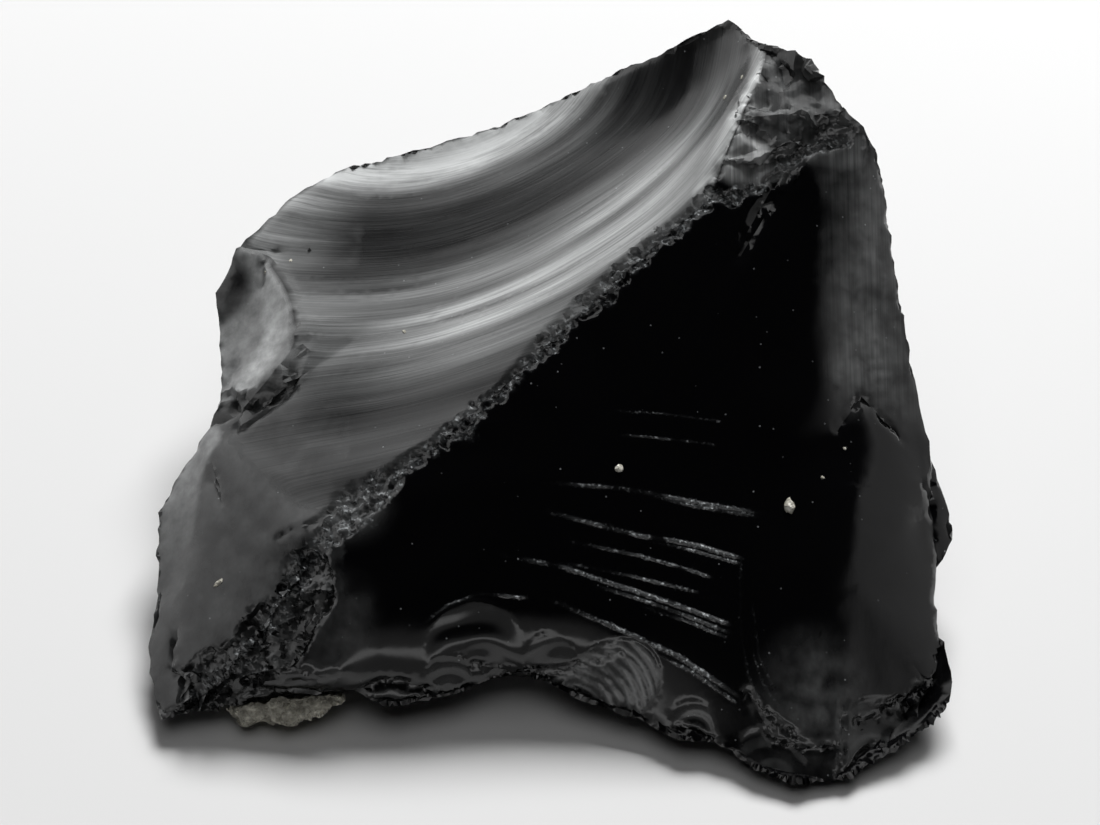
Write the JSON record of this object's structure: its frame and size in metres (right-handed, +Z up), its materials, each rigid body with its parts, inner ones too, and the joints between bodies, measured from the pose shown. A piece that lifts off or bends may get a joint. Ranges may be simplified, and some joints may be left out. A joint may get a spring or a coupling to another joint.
{
  "type": "obsidian chunk",
  "caption": "Angular raw lump of black volcanic glass with a rippled conchoidal hollow, a broad dark face, a crushed ridge between them and a pale mineral crust under its edge",
  "frame": {"origin": "centre of the footprint, on the surface that the chunk rests on", "axes": "+Z up, +X to the right across the longest extent, -Y towards the side where the broad dark face slopes down"},
  "size_m": [0.119, 0.113, 0.055],
  "materials": {
    "obsidian": "freshly broken black volcanic glass, glossy, with rippled conchoidal scars",
    "mineral_crust": "rough grey-white granular mineral crust"
  },
  "bodies": {
    "root": {"obsidian_chunk": "obsidian", "pale_mineral_crust": "mineral_crust"}
  },
  "joints": []
}
